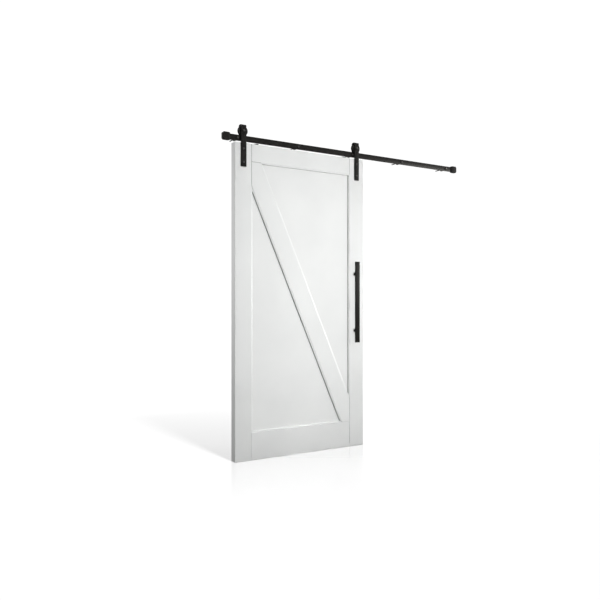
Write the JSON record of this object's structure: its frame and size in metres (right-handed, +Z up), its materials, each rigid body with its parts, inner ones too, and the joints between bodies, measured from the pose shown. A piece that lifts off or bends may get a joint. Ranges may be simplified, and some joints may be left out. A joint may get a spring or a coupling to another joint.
{
  "type": "sliding barn door",
  "caption": "White framed sliding barn door with a diagonal brace and a flat bar pull, hung by strap hangers with grooved wheels on a flat black track.",
  "frame": {"origin": "on the axis of the middle track bolt, in the plane of the wall", "axes": "+X along the track towards its free end, +Y into the wall, +Z up; the door's face looks along -Y"},
  "size_m": [2.134, 0.1696, 2.2568],
  "materials": {
    "white_paint": "satin white paint over solid timber",
    "black_coat": "fine matt black powder coat on steel",
    "bright_steel": "ground bearing steel",
    "rubber": "matt black moulded rubber",
    "dowel_wood": "bare beech"
  },
  "bodies": {
    "track": {"track_bar": "black_coat", "standoffs": "black_coat", "lag_bolts": "black_coat", "lag_washers": "black_coat", "left_stop": "black_coat", "right_stop": "black_coat", "left_bumper": "rubber", "right_bumper": "rubber", "stop_screws": "black_coat"},
    "door": {"left_stile": "white_paint", "right_stile": "white_paint", "top_rail": "white_paint", "bottom_rail": "white_paint", "panel": "white_paint", "brace": "white_paint", "left_strap": "black_coat", "right_strap": "black_coat", "strap_bolts": "black_coat", "strap_nuts": "black_coat", "axle_bolts": "black_coat", "axle_nuts": "black_coat", "anti_jump_discs": "black_coat", "anti_jump_screws": "black_coat", "pull_bar": "black_coat", "pull_posts": "black_coat", "pull_screws": "black_coat", "bearing_inner_rings": "bright_steel", "axle_sleeves": "bright_steel", "rail_dowels": "dowel_wood"},
    "left_wheel": {"left_wheel": "black_coat", "left_bearing_ring": "bright_steel", "left_bearing_balls": "bright_steel"},
    "right_wheel": {"right_wheel": "black_coat", "right_bearing_ring": "bright_steel", "right_bearing_balls": "bright_steel"}
  },
  "joints": [
    {"name": "door_slide", "type": "slide", "parent": "track", "child": "door", "axis": [1, 0, 0], "range_m": [-0.07, 0.959]},
    {"name": "left_wheel_spin", "type": "hinge", "parent": "door", "child": "left_wheel", "pos_m": [-0.91604, -0.054, 0.0493], "axis": [0, 1, 0], "continuous": true},
    {"name": "right_wheel_spin", "type": "hinge", "parent": "door", "child": "right_wheel", "pos_m": [0.02696, -0.054, 0.0493], "axis": [0, 1, 0], "continuous": true}
  ],
  "couplings": [
    {"joint": "left_wheel_spin", "follows": "door_slide", "rad_per_m": 34.483},
    {"joint": "right_wheel_spin", "follows": "door_slide", "rad_per_m": 34.483}
  ]
}
